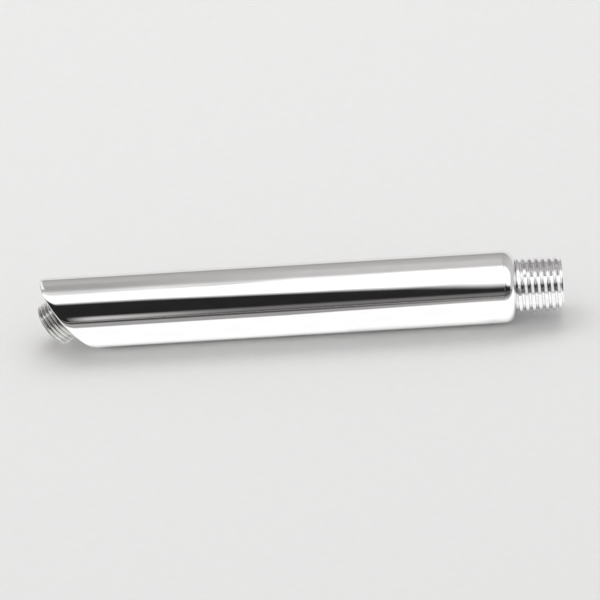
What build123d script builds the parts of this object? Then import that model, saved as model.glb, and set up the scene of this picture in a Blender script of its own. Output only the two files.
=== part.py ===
from build123d import *
import os
from math import cos, radians, sqrt, tan

# Shower arm: one brass casting, turned at both threads and chrome plated.
# Millimetres. The origin is the centre of the inlet thread at its gauge plane, +X runs out of
# the inlet towards the wall and +Z is up. The outlet points down and away from the wall.

# Body
body_diameter = 28.5
body_length = 174.5  # from the shoulder to the centre of the slanted face
outlet_drop = 37.5  # degrees from the body's axis down to the outlet's axis
shoulder_radius = 5.1
rim_radius = 0.4  # round the slanted face

# Inlet: a taper pipe thread, larger towards the body, with a crest at its gauge plane
inlet_diameter = 20.955  # over the crest at the gauge plane
inlet_taper = 1 / 16  # change of diameter with length
inlet_length = 18.0  # from the shoulder to the inlet's end face
gauge_length = 8.2  # from the gauge plane to the inlet's end face
inlet_pitch = 2.56
inlet_depth = 0.9
inlet_land = 0.6  # flat width of a crest

# Outlet: a straight thread
outlet_diameter = 17.9
outlet_length = 8.8  # from the slanted face to the outlet's end face
outlet_pitch = 1.5
outlet_depth = 0.85
outlet_land = 0.25
outlet_neck = 1.2  # least plain length between the slanted face and the first ridge
neck_radius = 0.4  # where the neck meets the slanted face

# Both threads
flank_angle = 30  # degrees from square to the thread's axis
end_margin = 0.2  # least length between the last crest and the end face

# Waterway
inlet_bore = 14.0
outlet_bore = 12.0
bore_chamfer = 0.5
wall = 3.0  # round the chamber and behind the shoulder
end_wall = 3.5  # between the chamber and the slanted face
widening_angle = 45  # degrees, from the inlet bore out to the chamber

run_on = 2.0  # how far a form carries on past the plane that ends it, or into the next form

body_radius = body_diameter / 2
shoulder = gauge_length - inlet_length
face_centre = shoulder - body_length
flank_slope = tan(radians(flank_angle))
outlet_place = Pos(face_centre, 0, 0) * Rot(0, 180 - outlet_drop, 0)  # its X is the outlet's axis
slanted_face = Plane(outlet_place * Rot(0, 90, 0))


def inlet_crest(x):
    """Radius over the inlet thread's crests at a place along X."""
    return (inlet_diameter - inlet_taper * x) / 2


def outlet_crest(x):
    """Radius over the outlet thread's crests, the same all along."""
    return outlet_diameter / 2


def turned(points):
    """The form turned about X from its outline, a list of (place along X, radius)."""
    return revolve(make_face(Polyline(*points, close=True)), Axis.X)


def ended(form, end):
    """The form cut off square to X."""
    return split(form, bisect_by=Plane.YZ.offset(end), keep=Keep.BOTTOM)


def ridges(centres, crest, depth, land):
    """Outline points of thread ridges with flat crests."""
    flank = depth * flank_slope
    points = []
    for centre in centres:
        radius = crest(centre)
        points += [
            (centre - land / 2 - flank, radius - depth),
            (centre - land / 2, radius),
            (centre + land / 2, radius),
            (centre + land / 2 + flank, radius - depth),
        ]
    return points


def body():
    """The round body: a quarter-round shoulder at one end, a slanted face with an eased rim at the other."""
    foot = max(body_radius - shoulder_radius, inlet_crest(shoulder) - inlet_depth)
    run = sqrt(shoulder_radius**2 - (foot - body_radius + shoulder_radius) ** 2)
    far_end = face_centre - body_radius * tan(radians(outlet_drop)) - run_on
    top = (shoulder - run, body_radius)
    outline = Polyline((shoulder, foot), (shoulder, 0), (far_end, 0), (far_end, body_radius), top)
    outline += TangentArc(top, (shoulder, foot), tangent=(1, 0))
    blank = revolve(make_face(outline), Axis.X)
    cut = split(blank, bisect_by=slanted_face, keep=Keep.BOTTOM)
    return fillet(cut.edges().filter_by(GeomType.ELLIPSE), rim_radius)


def inlet_shank():
    """The threaded shank, from inside the shoulder to the inlet's end face."""
    outward = int((gauge_length - inlet_land / 2 - end_margin) / inlet_pitch)
    inward = int((-shoulder - inlet_land / 2 - inlet_depth * flank_slope) / inlet_pitch)
    centres = [n * inlet_pitch for n in range(-inward, outward + 1)]
    points = ridges(centres, inlet_crest, inlet_depth, inlet_land)
    root = inlet_crest(shoulder) - inlet_depth
    start = shoulder - run_on
    past = points[-1][0] + inlet_length
    blank = turned([(start, 0), (start, root), (shoulder, root), *points, (past, points[-1][1]), (past, 0)])
    return ended(blank, gauge_length)


def outlet_stub():
    """The threaded outlet, turned square to the slanted face."""
    last = outlet_length - end_margin - outlet_land / 2
    room = last - outlet_land / 2 - outlet_depth * flank_slope - outlet_neck
    centres = [last - n * outlet_pitch for n in reversed(range(int(room / outlet_pitch) + 1))]
    points = ridges(centres, outlet_crest, outlet_depth, outlet_land)
    root = outlet_diameter / 2 - outlet_depth
    past = points[-1][0] + outlet_length
    blank = turned([(-run_on, 0), (-run_on, root), *points, (past, root), (past, 0)])
    return outlet_place * ended(blank, outlet_length)


def waterway():
    """The hollow: a bore from each end into the chamber in the body, whose end runs along the slanted face."""
    inlet_radius = inlet_bore / 2
    chamber_radius = body_radius - wall
    throat = shoulder - wall
    chamber_start = throat - (chamber_radius - inlet_radius) / tan(radians(widening_angle))
    far_end = face_centre - body_radius * tan(radians(outlet_drop))
    chamber = turned(
        [
            (far_end, 0),
            (far_end, chamber_radius),
            (chamber_start, chamber_radius),
            (throat, inlet_radius),
            *mouth(gauge_length, inlet_radius),
        ]
    )
    chamber = split(chamber, bisect_by=slanted_face.offset(-end_wall), keep=Keep.BOTTOM)
    inner_end = -end_wall - run_on
    outlet_radius = outlet_bore / 2
    outlet = turned([(inner_end, 0), (inner_end, outlet_radius), *mouth(outlet_length, outlet_radius)])
    return chamber + outlet_place * outlet


def mouth(end, radius):
    """Outline points of a bore that is chamfered where it comes out at an end face."""
    return [(end - bore_chamfer, radius), (end + run_on, radius + bore_chamfer + run_on), (end + run_on, 0)]


def shower_arm():
    """The whole arm, with the outlet's neck rounded into the slanted face."""
    solid = body() + inlet_shank() + outlet_stub()
    neck = solid.edges().filter_by(GeomType.CIRCLE).sort_by_distance((face_centre, 0, 0))[0]
    return fillet(neck, neck_radius) - waterway()


os.makedirs("parts", exist_ok=True)
export_step(shower_arm(), "parts/shower_arm.step")
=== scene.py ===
from math import asin, ceil, cos, floor, pi, radians, sin, tan

import bpy
from mathutils import Matrix, Vector


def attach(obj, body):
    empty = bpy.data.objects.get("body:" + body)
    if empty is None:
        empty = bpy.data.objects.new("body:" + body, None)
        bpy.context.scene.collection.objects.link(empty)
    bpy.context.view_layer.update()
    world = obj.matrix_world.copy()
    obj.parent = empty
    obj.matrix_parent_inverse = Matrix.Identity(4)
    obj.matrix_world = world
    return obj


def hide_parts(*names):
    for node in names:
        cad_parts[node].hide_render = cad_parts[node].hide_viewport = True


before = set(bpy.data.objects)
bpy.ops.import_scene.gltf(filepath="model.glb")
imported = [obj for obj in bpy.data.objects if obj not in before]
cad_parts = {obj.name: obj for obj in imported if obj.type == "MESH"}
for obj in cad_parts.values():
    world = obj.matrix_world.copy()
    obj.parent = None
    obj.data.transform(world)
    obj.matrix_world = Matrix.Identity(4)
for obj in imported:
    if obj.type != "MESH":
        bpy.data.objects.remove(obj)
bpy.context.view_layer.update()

# The arm's dimensions in millimetres. The origin is the centre of the inlet at its gauge plane,
# X runs out of the inlet towards the wall and Z is up.
body_diameter = 28.5
body_length = 174.5  # from the shoulder to the centre of the slanted face
outlet_drop = radians(37.5)  # from the body's axis down to the outlet's axis
shoulder_radius = 5.1
rim_radius = 0.55
rim_spread = 0.35  # how much sharper the rim's upper tip is than its sides
ease_length = 3.0  # from the slanted face to where the polished body starts to fall away
ease_drop = 0.2

inlet_diameter = 20.955  # over the crests at the gauge plane
inlet_taper = 1 / 16  # change of diameter with length
inlet_length = 18.0  # from the shoulder to the inlet's end face
gauge_length = 8.2  # from the gauge plane to the inlet's end face
inlet_pitch = 2.56
inlet_depth = 0.9
inlet_land = 1.3  # width of a crest
inlet_flank = radians(12)  # from square to the thread's axis
inlet_rounds = (0.12, 0.52)  # radii of crests and roots
inlet_phase = 1.0  # where a crest stands at the top, along X
inlet_start = 0.8  # length over which the thread rises from its end face
inlet_runout = 0.3  # length over which it fades at the shoulder
inlet_foot = 0.4  # share of its height that is left at the shoulder

outlet_diameter = 17.9
outlet_length = 8.8  # from the slanted face to the outlet's end face
outlet_pitch = 1.5
outlet_depth = 0.85
outlet_land = 0.25
outlet_flank = radians(30)
outlet_rounds = (0.12, 0.2)
outlet_neck = 1.2  # plain length before the thread
outlet_phase = 2.2  # where a crest stands at the top, from the slanted face
outlet_start = 0.48
neck_radius = 0.4  # where the neck meets the slanted face

first_height = 0.6  # share of a thread's height at its end face
root_share = 0.3  # share of a thread's depth under which its finish is the root's, a darker finish that paints shade into the roots

inlet_bore = 14.0
outlet_bore = 12.0
bore_chamfer = 0.5
wall = 3.0  # round the chamber and behind the shoulder
end_wall = 3.5  # between the chamber and the slanted face

around = 240  # columns of faces round the arm
arc_steps = 8  # faces across a small rounding
shoulder_steps = 24
ease_steps = 10  # faces along the eased end
thread_steps = 4  # faces across a thread's rounding
crest_support = 0.9  # where a row of faces keeps a crest's shading flat, as a share of half its flat
sharp_angle = radians(35)  # edges that turn further are shaded sharp
MM = 0.001

# The finishes, by their places in the mesh's list; the last darkens the outlet's roots as painted shade
polished, inlet_plate, outlet_plate, brass, outlet_root_shade = range(5)

body_radius = body_diameter / 2
shoulder = gauge_length - inlet_length
face_centre = shoulder - body_length
turn = [2 * pi * column / around for column in range(around + 1)]


class Frame:
    """A turned form's own frame: its start, the way it is followed and the direction of angle 0."""

    def __init__(self, start, along, top):
        self.start = Vector(start)
        self.along = Vector(along)
        self.top = Vector(top)

    def point(self, travel, radius, angle):
        side = Vector((0, 1, 0)) * sin(angle) + self.top * cos(angle)
        return self.start + self.along * travel + side * radius

    def ring(self, travel, radius):
        return [self.point(travel, radius, angle) for angle in turn]


# The body is followed from the inlet towards the outlet, and the outlet from the slanted face outwards
body_frame = Frame((0, 0, 0), (-1, 0, 0), (0, 0, 1))
outlet_frame = Frame(
    (face_centre, 0, 0),
    (-cos(outlet_drop), 0, -sin(outlet_drop)),
    (-sin(outlet_drop), 0, cos(outlet_drop)),
)


class Skin:
    """A mesh grown from rings of points. Points that coincide become one."""

    def __init__(self):
        self.points = []
        self.known = {}
        self.faces = []
        self.finishes = []

    def add(self, point):
        key = (round(point[0], 5), round(point[1], 5), round(point[2], 5))
        if key not in self.known:
            self.known[key] = len(self.points)
            self.points.append(point)
        return self.known[key]

    def loft(self, rings, *finishes):
        """Faces between each ring and the next, with the finishes in turn."""
        rows = [[self.add(point) for point in ring] for ring in rings]
        for strip, (near, far) in enumerate(zip(rows, rows[1:])):
            for column in range(around):
                corners = [near[column], near[column + 1], far[column + 1], far[column]]
                corners = [c for place, c in enumerate(corners) if c != corners[place - 1]]
                if len(corners) > 2:
                    self.faces.append(corners)
                    self.finishes.append(finishes[strip % len(finishes)])


def smoothstep(value):
    value = min(max(value, 0.0), 1.0)
    return value * value * (3 - 2 * value)


class Thread:
    """A right-handed thread with rounded crests and roots, cut between two places along its frame."""

    def __init__(self, place, start, end, pitch, depth, land, flank, rounds, phase, crest, height):
        self.place = place
        self.start = start
        self.end = end
        self.pitch = pitch
        self.depth = depth
        self.phase = phase
        self.crest = crest  # radius over the crests at a place
        self.height = height  # share of the full height at a place
        crest_round, root_round = rounds
        lean = pi / 2 - flank  # turn from a crest into a flank
        reach = tan(lean / 2)
        crest_flat = land / 2 - crest_round * reach
        root_flat = land / 2 + depth * tan(flank) + root_round * reach
        rise = [(0.0, 0.0), (crest_flat * crest_support, 0.0)]
        for step in range(thread_steps + 1):
            angle = lean * step / thread_steps
            rise.append((crest_flat + crest_round * sin(angle), crest_round * (1 - cos(angle))))
        for step in range(thread_steps, -1, -1):
            angle = lean * step / thread_steps
            rise.append((root_flat - root_round * sin(angle), depth - root_round * (1 - cos(angle))))
        rise.append((pitch / 2, depth))
        fall = [(pitch - across, down) for across, down in reversed(rise[1:-1])]
        self.keys = rise + fall

    def drop(self, travel, angle):
        """How far the surface lies under the crests."""
        across = ((travel - self.phase) / self.pitch - angle / (2 * pi)) % 1.0 * self.pitch
        keys = self.keys + [(self.pitch, 0.0)]
        for (near, low), (far, high) in zip(keys, keys[1:]):
            if near <= across < far:
                return low + (high - low) * (across - near) / (far - near)
        return 0.0

    def point(self, travel, down, angle):
        radius = self.crest(travel) - self.depth + (self.depth - down) * self.height(travel)
        return self.place.point(travel, radius, angle)

    def edge(self, travel):
        """The thread's own outline where a plane square to its axis cuts it."""
        return [self.point(travel, self.drop(travel, angle), angle) for angle in turn]

    def rows(self):
        """Rows that follow the helix, cut at both ends."""
        first = floor((self.start - self.phase) / self.pitch) - 1
        last = ceil((self.end - self.phase) / self.pitch) + 1
        for number in range(first, last):
            for across, down in self.keys:
                row = []
                for angle in turn:
                    travel = self.phase + self.pitch * (number + angle / (2 * pi)) + across
                    low = down
                    if travel <= self.start or travel >= self.end:
                        travel = min(max(travel, self.start), self.end)
                        low = self.drop(travel, angle)
                    row.append(self.point(travel, low, angle))
                yield row

    def finishes(self, crest, root):
        """The finish of each strip between two rows, in turn. Strips deep in the roots take the root
        finish, whose dark colour is painted shade.
        """
        ends = [down for _, down in self.keys] + [0.0]
        return [root if min(pair) > root_share * self.depth else crest for pair in zip(ends, ends[1:])]


def risen(share, distance, length):
    """A share that grows smoothly to 1 over a length."""
    return share + (1 - share) * smoothstep(distance / length)


def inlet_crest(travel):
    return (inlet_diameter + inlet_taper * travel) / 2


def outlet_crest(travel):
    return outlet_diameter / 2


def inlet_height(travel):
    """The thread rises from its end face and runs out at the shoulder."""
    begun = risen(first_height, travel + gauge_length, inlet_start)
    left = risen(inlet_foot, -shoulder - travel, inlet_runout)
    return min(begun, left)


def outlet_height(travel):
    """The thread grows out of the neck and ends a little lower at its end face."""
    begun = risen(0.0, travel - outlet_neck, outlet_pitch)
    left = risen(first_height, outlet_length - travel, outlet_start)
    return min(begun, left)


inlet_thread = Thread(
    place=body_frame,
    start=-gauge_length,
    end=-shoulder,
    pitch=inlet_pitch,
    depth=inlet_depth,
    land=inlet_land,
    flank=inlet_flank,
    rounds=inlet_rounds,
    phase=-inlet_phase,
    crest=inlet_crest,
    height=inlet_height,
)
outlet_thread = Thread(
    place=outlet_frame,
    start=outlet_neck,
    end=outlet_length,
    pitch=outlet_pitch,
    depth=outlet_depth,
    land=outlet_land,
    flank=outlet_flank,
    rounds=outlet_rounds,
    phase=outlet_phase,
    crest=outlet_crest,
    height=outlet_height,
)
shoulder_foot = inlet_crest(-shoulder) - inlet_depth
shoulder_lean = pi / 2 - asin((shoulder_foot - body_radius + shoulder_radius) / shoulder_radius)
shoulder_centre = shoulder - shoulder_radius * sin(shoulder_lean)


def shoulder_rings():
    """The quarter-round shoulder, from the foot of the thread out to the body."""
    rings = []
    for step in range(1, shoulder_steps + 1):
        lean = shoulder_lean * (1 - step / shoulder_steps)
        radius = body_radius - shoulder_radius * (1 - cos(lean))
        rings.append(body_frame.ring(-(shoulder_centre + shoulder_radius * sin(lean)), radius))
    return rings


def slanted_point(travel, radius, angle):
    """A point of the slanted plane, or of one parallel to it, at a radius from the body's axis."""
    height = radius * cos(angle)
    x = face_centre - travel / cos(outlet_drop) - height * tan(outlet_drop)
    return Vector((x, radius * sin(angle), height))


def eased_radius(depth):
    """The body's radius at a depth behind the slanted face. Polishing has let it fall away a little."""
    return body_radius - ease_drop * max(0.0, 1 - depth / ease_length) ** 3


def rim_rings():
    """The body's polished end and its rim, rounded by a ball between the body and the slanted face."""
    outward = outlet_frame.along
    body_rings = [[] for _ in range(ease_steps)]
    ball_rings = [[] for _ in range(arc_steps + 1)]
    for angle in turn:
        radial = Vector((0, sin(angle), cos(angle)))
        across = outward - radial * radial.dot(outward)
        ball = rim_radius * (1 - rim_spread * cos(angle))
        depth = ball
        # The ball touches the body at a depth that depends on the slope there, and three rounds settle both
        for _ in range(3):
            slope = 3 * ease_drop / ease_length * max(0.0, 1 - depth / ease_length) ** 2
            normal = (radial + across * slope).normalized()
            depth = ball * (1 - normal.dot(outward))
        for step, ring in enumerate(body_rings):
            place = ease_length + (depth - ease_length) * step / ease_steps
            ring.append(slanted_point(-place, eased_radius(place), angle))
        centre = slanted_point(-ball, eased_radius(depth) - ball * normal.dot(radial), angle)
        between = normal.angle(outward)
        for step, ring in enumerate(ball_rings):
            part = step / arc_steps * between
            direction = (normal * sin(between - part) + outward * sin(part)) / sin(between)
            ring.append(centre + direction * ball)
    return [*body_rings, *ball_rings]


def neck_rings():
    """The rounding from the slanted face into the outlet's neck."""
    root = outlet_diameter / 2 - outlet_depth
    rings = []
    for step in range(arc_steps + 1):
        lean = pi / 2 * step / arc_steps
        travel = neck_radius * (1 - cos(lean))
        rings.append(outlet_frame.ring(travel, root + neck_radius * (1 - sin(lean))))
    return rings


def arm_skin():
    """The whole skin, along the outside from the inlet to the outlet and back through the waterway."""
    skin = Skin()
    inlet_radius = inlet_bore / 2
    inlet_mouth = body_frame.ring(-gauge_length, inlet_radius + bore_chamfer)
    skin.loft([inlet_mouth, inlet_thread.edge(-gauge_length)], polished)
    skin.loft(list(inlet_thread.rows()), inlet_plate)
    foot = body_frame.ring(-shoulder, shoulder_foot)
    skin.loft([inlet_thread.edge(-shoulder), foot], polished)
    rim = rim_rings()
    skin.loft([foot, *shoulder_rings(), *rim], polished)
    neck = neck_rings()
    skin.loft([rim[-1], neck[0]], polished)
    skin.loft([*neck, outlet_thread.edge(outlet_neck)], outlet_plate)
    skin.loft(list(outlet_thread.rows()), *outlet_thread.finishes(outlet_plate, outlet_root_shade))
    outlet_radius = outlet_bore / 2
    outlet_mouth = outlet_frame.ring(outlet_length, outlet_radius + bore_chamfer)
    skin.loft([outlet_thread.edge(outlet_length), outlet_mouth], outlet_plate)
    chamber_radius = body_radius - wall
    throat = shoulder - wall
    widening = chamber_radius - inlet_radius
    skin.loft(
        [
            outlet_mouth,
            outlet_frame.ring(outlet_length - bore_chamfer, outlet_radius),
            outlet_frame.ring(-end_wall, outlet_radius),
            [slanted_point(-end_wall, chamber_radius, angle) for angle in turn],
            body_frame.ring(-(throat - widening), chamber_radius),
            body_frame.ring(-throat, inlet_radius),
            body_frame.ring(bore_chamfer - gauge_length, inlet_radius),
            inlet_mouth,
        ],
        brass,
    )
    return skin


def even_normals(mesh):
    """Each face corner's normal, weighted by the areas of the faces that meet there less sharply."""
    limit = cos(sharp_angle)
    meeting = [[] for _ in mesh.vertices]
    for face in mesh.polygons:
        normal = face.normal.copy()
        weighted = normal * (face.area / MM**2)
        for vertex in face.vertices:
            meeting[vertex].append((normal, weighted))
    normals = []
    for face in mesh.polygons:
        own = face.normal
        for vertex in face.vertices:
            total = Vector()
            for normal, weighted in meeting[vertex]:
                if normal.dot(own) > limit:
                    total += weighted
            normals.append(total.normalized())
    return normals


def placed(name, data):
    """A new object in the scene."""
    made = bpy.data.objects.new(name, data)
    bpy.context.scene.collection.objects.link(made)
    return made


def skin_object(name, skin, materials):
    """The skin as an object, shaded smoothly between its sharp edges."""
    mesh = bpy.data.meshes.new(name)
    mesh.from_pydata([tuple(point * MM) for point in skin.points], [], skin.faces)
    for material in materials:
        mesh.materials.append(material)
    mesh.polygons.foreach_set("material_index", skin.finishes)
    mesh.polygons.foreach_set("use_smooth", [True] * len(mesh.polygons))
    mesh.set_sharp_from_angle(angle=sharp_angle)
    mesh.validate()
    mesh.normals_split_custom_set(even_normals(mesh))
    return placed(name, mesh)


class Nodes:
    """The node tree of a material or of the world, under construction."""

    def __init__(self, owner, output="OutputMaterial"):
        owner.use_nodes = True
        self.owner = owner
        self.tree = owner.node_tree
        self.tree.nodes.clear()
        self.output = self.new(output)

    def new(self, kind, **settings):
        node = self.tree.nodes.new("ShaderNode" + kind)
        for name, value in settings.items():
            setattr(node, name, value)
        return node

    def link(self, source, target):
        self.tree.links.new(source, target)

    def noise(self, scale, detail, stretch=(1, 1, 1)):
        """Noise in the arm's own coordinates, in millimetres."""
        where = self.new("TexCoord")
        mapping = self.new("Mapping")
        mapping.inputs["Scale"].default_value = [s / MM for s in stretch]
        noise = self.new("TexNoise")
        noise.inputs["Scale"].default_value = scale
        noise.inputs["Detail"].default_value = detail
        self.link(where.outputs["Object"], mapping.inputs["Vector"])
        self.link(mapping.outputs["Vector"], noise.inputs["Vector"])
        return noise.outputs["Fac"]

    def remap(self, noise, low, high):
        """The middle of the noise's range, spread from low to high."""
        node = self.new("MapRange")
        node.inputs["From Min"].default_value = 0.35
        node.inputs["From Max"].default_value = 0.65
        node.inputs["To Min"].default_value = low
        node.inputs["To Max"].default_value = high
        self.link(noise, node.inputs["Value"])
        return node.outputs["Result"]

    def fading(self, value, start, end):
        """Rises smoothly from 0 at start to 1 at end."""
        node = self.new("MapRange", interpolation_type="SMOOTHSTEP")
        node.inputs["From Min"].default_value = start
        node.inputs["From Max"].default_value = end
        self.link(value, node.inputs["Value"])
        return node.outputs["Result"]

    def ramp(self, value, stops, interpolation="EASE"):
        node = self.new("ValToRGB")
        node.color_ramp.interpolation = interpolation
        while len(node.color_ramp.elements) < len(stops):
            node.color_ramp.elements.new(0.5)
        for element, (position, colour) in zip(node.color_ramp.elements, stops):
            element.position = position
            element.color = (*colour, 1.0)
        self.link(value, node.inputs["Fac"])
        return node.outputs["Color"]

    def between(self, noise, low, high):
        """From one colour to the other with the noise."""
        return self.ramp(noise, [(0.3, low), (0.7, high)])

    def bump(self, noise, strength, distance):
        node = self.new("Bump")
        node.inputs["Strength"].default_value = strength
        node.inputs["Distance"].default_value = distance * MM
        self.link(noise, node.inputs["Height"])
        return node.outputs["Normal"]

    def product(self, values):
        total = values[0]
        for value in values[1:]:
            node = self.new("Math", operation="MULTIPLY")
            self.link(total, node.inputs[0])
            self.link(value, node.inputs[1])
            total = node.outputs["Value"]
        return total


def new_material(name):
    return Nodes(bpy.data.materials.new(name))


def metal(n, pattern, colours, roughness, relief):
    """A metal whose colour and roughness follow a pattern, over a relief."""
    shader = n.new("BsdfPrincipled")
    shader.inputs["Metallic"].default_value = 1.0
    n.link(n.between(pattern, *colours), shader.inputs["Base Color"])
    n.link(n.remap(pattern, *roughness), shader.inputs["Roughness"])
    n.link(relief, shader.inputs["Normal"])
    n.link(shader.outputs["BSDF"], n.output.inputs["Surface"])
    return n.owner


def polished_chrome():
    """Mirror-polished plate: faint waviness and a fine haze that comes and goes."""
    n = new_material("polished_chrome")
    haze = n.noise(0.35, 4.0, (0.3, 1, 1))
    wave = n.noise(0.12, 2.0, (0.25, 1, 1))
    return metal(n, haze, ((0.86, 0.86, 0.87), (0.9, 0.9, 0.9)), (0.03, 0.06), n.bump(wave, 0.15, 0.02))


def turned_chrome(name, roughness, dark, pale):
    """Plate over a turned thread, with a fine grain."""
    n = new_material(name)
    grain = n.noise(0.9, 4.0)
    return metal(n, grain, (dark, pale), roughness, n.bump(grain, 0.1, 0.01))


def bare_brass():
    """The unplated inside of the casting, dull and a little stained."""
    n = new_material("bare_brass")
    stain = n.noise(0.5, 6.0)
    return metal(n, stain, ((0.3, 0.2, 0.09), (0.62, 0.46, 0.22)), (0.35, 0.6), n.bump(stain, 0.5, 0.08))


# The arm
arm = skin_object(
    "arm",
    arm_skin(),
    [
        polished_chrome(),
        turned_chrome("inlet_chrome", (0.03, 0.05), (0.8, 0.8, 0.81), (0.88, 0.88, 0.89)),
        turned_chrome("outlet_chrome", (0.12, 0.18), (0.7, 0.7, 0.69), (0.78, 0.78, 0.77)),
        bare_brass(),
        # The outlet's roots in a dark chrome: painted shade in the thread's hollows
        turned_chrome("outlet_root_painted_shade", (0.2, 0.3), (0.3, 0.3, 0.29), (0.38, 0.38, 0.37)),
    ],
)
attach(arm, "root")
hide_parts("shower_arm")

# Studio: bright cards are nearly white, and the rest of the room is a slightly warm grey
floor_height = -body_radius
floor_reach = 6000
white = (1.0, 0.995, 0.985)
warm_grey = (1.01, 0.98, 0.968)
white_over = 0.9  # a card with a strength over this is white
room_light = 0.75  # what the room sheds on matt surfaces


def card_material(name, colour, ends, edges):
    """A plain glow that fades out towards the card's ends and edges."""
    n = new_material(name)
    where = n.new("UVMap", uv_map="card")
    apart = n.new("SeparateXYZ")
    n.link(where.outputs["UV"], apart.inputs["Vector"])
    strength = n.new("Attribute", attribute_name="strength")
    glow = n.new("Emission")
    glow.inputs["Color"].default_value = (*colour, 1.0)
    n.link(strength.outputs["Fac"], glow.inputs["Strength"])
    surface = glow.outputs["Emission"]
    shares = []
    for value, (low, high) in ((apart.outputs["X"], ends), (apart.outputs["Y"], edges)):
        if low:
            shares.append(n.fading(value, 0.0, low))
        if high:
            shares.append(n.fading(value, 1.0, 1.0 - high))
    if shares:
        clear = n.new("BsdfTransparent")
        mixed = n.new("MixShader")
        n.link(n.product(shares), mixed.inputs["Fac"])
        n.link(clear.outputs["BSDF"], mixed.inputs[1])
        n.link(surface, mixed.inputs[2])
        surface = mixed.outputs["Shader"]
    n.link(surface, n.output.inputs["Surface"])
    return n.owner


def card(name, lower, upper, strengths, ends=(0.0, 0.0), edges=(0.0, 0.0)):
    """A card or flag between two lines of points in millimetres, seen only in what the metal reflects.

    strengths are its brightness at each point of its lines. ends are the shares of its length over which
    it fades at the left and right, and edges those of its width at the bottom and top."""
    mesh = bpy.data.meshes.new(name)
    count = len(lower)
    points = [tuple(Vector(point) * MM) for point in [*lower, *upper]]
    faces = [(i, i + 1, count + i + 1, count + i) for i in range(count - 1)]
    mesh.from_pydata(points, [], faces)
    mesh.attributes.new("strength", "FLOAT", "POINT").data.foreach_set("value", [*strengths, *strengths])
    uv = mesh.uv_layers.new(name="card")
    length = lower[-1][0] - lower[0][0]
    for loop in mesh.loops:
        line, station = divmod(loop.vertex_index, count)
        uv.data[loop.index].uv = ((lower[station][0] - lower[0][0]) / length, line)
    colour = white if max(strengths) > white_over else warm_grey
    mesh.materials.append(card_material(name, colour, ends, edges))
    made = placed(name, mesh)
    made.visible_camera = False
    made.visible_diffuse = False
    made.visible_transmission = False
    made.visible_volume_scatter = False
    made.visible_shadow = False


def around_axis(distance, places, elevations):
    """Points round the arm's axis. Elevation 0 is the horizon on the camera's side, and 90 is overhead."""
    slants = [radians(elevation) for elevation in elevations]
    return [(x, -distance * cos(slant), distance * sin(slant)) for x, slant in zip(places, slants)]


def band(name, distance, places, low, high, strengths, ends=(0.0, 0.0), edges=(0.0, 0.0)):
    """A card at one distance from the arm's axis, between two elevations."""
    lower = around_axis(distance, places, [low] * len(places))
    upper = around_axis(distance, places, [high] * len(places))
    card(name, lower, upper, strengths, ends, edges)


def on_floor(places, distances, lift=0.2):
    """Points just over the floor, at distances in front of the arm's axis."""
    return [(x, -distance, floor_height + lift) for x, distance in zip(places, distances)]


def plain_floor():
    """The matt pale floor that the arm lies on."""
    mesh = bpy.data.meshes.new("floor")
    reach = floor_reach * MM
    z = floor_height * MM
    corners = [(-reach, -reach, z), (reach, -reach, z), (reach, reach, z), (-reach, reach, z)]
    mesh.from_pydata(corners, [], [(0, 1, 2, 3)])
    n = new_material("pale_floor")
    matt = n.new("BsdfDiffuse")
    speck = n.noise(0.3, 3.0)
    n.link(n.between(speck, (0.79, 0.79, 0.785), (0.8, 0.8, 0.795)), matt.inputs["Color"])
    n.link(matt.outputs["BSDF"], n.output.inputs["Surface"])
    mesh.materials.append(n.owner)
    placed("floor", mesh)


def overhead_cards():
    """A long soft box overhead, with a soft edge on each side."""
    distance = 500
    places = (-1500, -330, -215, -160, -94, -48, -8, 120, 300, 900)
    lowest = around_axis(distance, places, (66, 66, 54, 52, 44.5, 38, 24, 30, 26, 24))
    low = around_axis(distance, places, (78, 78, 67, 66, 58, 55, 52, 50, 42, 40))
    high = around_axis(distance, places, (100, 80, 75, 78, 88, 91, 91, 91, 91, 91))
    highest = around_axis(distance, places, (120, 112, 112, 111, 107, 105, 105, 105, 105, 105))
    bright = (1.2, 1.5, 1.5, 1.5, 1.5, 1.5, 1.5, 1.4, 1.3, 1.1)
    card("overhead_front", lowest, low, bright, edges=(1.0, 0.0))
    card("overhead_middle", low, high, bright)
    card("overhead_back", high, highest, bright, edges=(0.0, 1.0))


def front_cards():
    """The dark side of the room in front of the arm, and a low grey streak from its outlet end on."""
    band("front_flag", 3000, (-8000, -1700, -1300, 3700), 0, 96, (0.42, 0.42, 0.02, 0.02))
    streak = (-205, -180, -140, -117, -3, 200, 2000)
    greys = (0.7, 0.6, 0.26, 0.19, 0.19, 0.12, 0.1)
    band("front_streak", 600, streak, -2, 18, greys, ends=(0.006, 0.0), edges=(0.45, 0.45))


def back_cards():
    """On the left a dark flag for the outlet's thread and a card for the rim, and a grey wall behind."""
    for name, places, low, high, bright in (
        ("outlet_flag", (-1300, -410), 92, 164, 0.28),
        ("rim_card", (-400, -235), 108, 168, 0.95),
    ):
        band(name, 500, places, low, high, (bright, bright), ends=(0.2, 0.0), edges=(0.2, 0.2))
    room = (-1500, -240, -183, -141, -94, -5, 30, 200)
    greys = (0.4, 0.4, 0.42, 0.5, 0.6, 0.64, 0.55, 0.55)
    band("back_room", 600, room, 95, 138, greys, edges=(0.0, 0.4))


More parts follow.
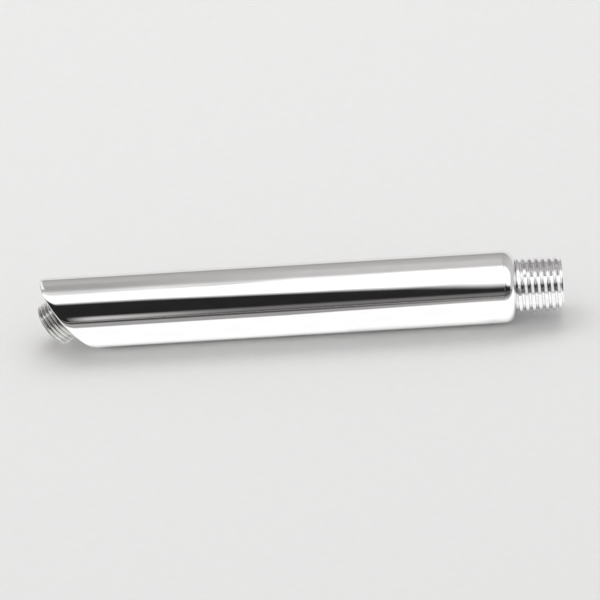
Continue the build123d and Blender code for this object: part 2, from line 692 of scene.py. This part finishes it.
def table_cards():
    """The table in front of the arm, brighter towards it, and a bright patch under the outlet."""
    places = (-1500, -180, -100, -75, -20, 100, 1500)
    far = on_floor(places, [1500] * len(places))
    middle = on_floor(places, (150, 150, 150, 152, 170, 170, 170))
    near = on_floor(places, (57, 57, 60, 69, 86, 86, 86))
    under = on_floor(places, (5, 5, 5, 5, 5, 0, 0))
    card("far_table", far, middle, (0.07, 0.08, 0.1, 0.12, 0.26, 0.3, 0.3))
    card("middle_table", middle, near, (0.39, 0.39, 0.37, 0.37, 0.45, 0.5, 0.5))
    card("near_table", near, under, [1.15] * len(places), edges=(0.12, 0.12))
    outlet = (-240, -165)
    front = on_floor(outlet, (8, 8))
    behind = on_floor(outlet, (-60, -60))
    card("outlet_table", front, behind, (0.95, 0.95), ends=(0.2, 0.3), edges=(0.0, 0.4))


def inlet_cards():
    """Narrow strips that mainly the inlet's crests face: bright in front, grey overhead and behind.

    A small flag hides the bright strips from the shoulder."""
    for name, distance, strip, low, high, bright in (
        ("inlet_low", 560, (41, 63), -1.2, 20, 0.95),
        ("inlet_high", 1900, (158, 194), 20, 45, 0.95),
        ("shoulder_flag", 60, (-10.3, -5), -1, 30, 0.1),
        ("inlet_over", 450, (29, 49), 64, 107, 0.45),
        ("inlet_back", 560, (28, 46), 107, 152, 0.3),
    ):
        band(name, distance, strip, low, high, (bright, bright))
    over_table = 0.4
    far = on_floor((41, 63), (560, 560), over_table)
    near = on_floor((-1.5, 17.5), (86, 86), over_table)
    card("inlet_table", far, near, (0.75, 0.75))


def studio_world():
    """What the metal sees round the cards: a grey room, paler low down and on both sides."""
    world = bpy.data.worlds.new("studio")
    bpy.context.scene.world = world
    n = Nodes(world, "OutputWorld")
    direction = n.new("TexCoord")
    apart = n.new("SeparateXYZ")
    n.link(direction.outputs["Generated"], apart.inputs["Vector"])
    heights = [(0.0, 0.85), (0.18, 0.8), (0.3, 0.36), (0.45, 0.46), (1.0, 0.58)]
    stops = [(height, [grey * share for share in warm_grey]) for height, grey in heights]
    seen_in_metal = n.ramp(apart.outputs["Z"], stops, "LINEAR")
    for start, end, grey in ((-0.45, -0.72, 0.95), (0.3, 0.7, 0.6)):
        side = n.new("MixRGB")
        side.inputs["Color2"].default_value = (grey, grey, grey, 1)
        n.link(n.fading(apart.outputs["X"], start, end), side.inputs["Fac"])
        n.link(seen_in_metal, side.inputs["Color1"])
        seen_in_metal = side.outputs["Color"]
    rays = n.new("LightPath")
    by_ray = n.new("MixRGB")
    by_ray.inputs["Color1"].default_value = (room_light, room_light, room_light, 1)
    n.link(rays.outputs["Is Glossy Ray"], by_ray.inputs["Fac"])
    n.link(seen_in_metal, by_ray.inputs["Color2"])
    background = n.new("Background")
    n.link(by_ray.outputs["Color"], background.inputs["Color"])
    n.link(background.outputs["Background"], n.output.inputs["Surface"])


def soft_lamp():
    """A large lamp above and behind for the soft shadow, seen neither by the camera nor in the metal."""
    data = bpy.data.lights.new("soft_lamp", "AREA")
    data.shape = "RECTANGLE"
    data.size = 1.6
    data.size_y = 1.0
    data.energy = 9.0
    lamp = placed("soft_lamp", data)
    lamp.location = (-0.3, 0.5, 1.5)
    middle = Vector((-0.09, 0, 0))
    lamp.rotation_euler = (middle - lamp.location).to_track_quat("-Z", "Y").to_euler()
    lamp.visible_glossy = False
    lamp.visible_camera = False


plain_floor()
overhead_cards()
front_cards()
back_cards()
table_cards()
inlet_cards()
studio_world()
soft_lamp()

# The photograph's view
elevation = radians(31)
roll = radians(3.45)
picture = 600  # its width in pixels
scale = 2.567  # pixels to the millimetre at the arm
distance = 3000.0
aim_x = -94.1  # the place along the axis that stands at the picture's middle
aim_up = -0.45  # how far the middle lies over the axis
sensor = 36

camera_data = bpy.data.cameras.new("camera")
camera_data.sensor_width = sensor
camera_data.lens = sensor * distance / (picture / scale)
camera = placed("camera", camera_data)
back = Vector((0, -cos(elevation), sin(elevation)))
level_up = Vector((0, sin(elevation), cos(elevation)))
right = Vector((1, 0, 0))
up = level_up * cos(roll) + right * sin(roll)
across = right * cos(roll) - level_up * sin(roll)
aim = Vector((aim_x, 0, 0)) + up * aim_up
axes = Matrix((across, up, back)).transposed().to_4x4()
camera.matrix_world = Matrix.Translation((aim + back * distance) * MM) @ axes
camera_data.clip_start = 0.1
camera_data.clip_end = 50
bpy.context.scene.camera = camera
bpy.context.scene.view_settings.view_transform = "Standard"
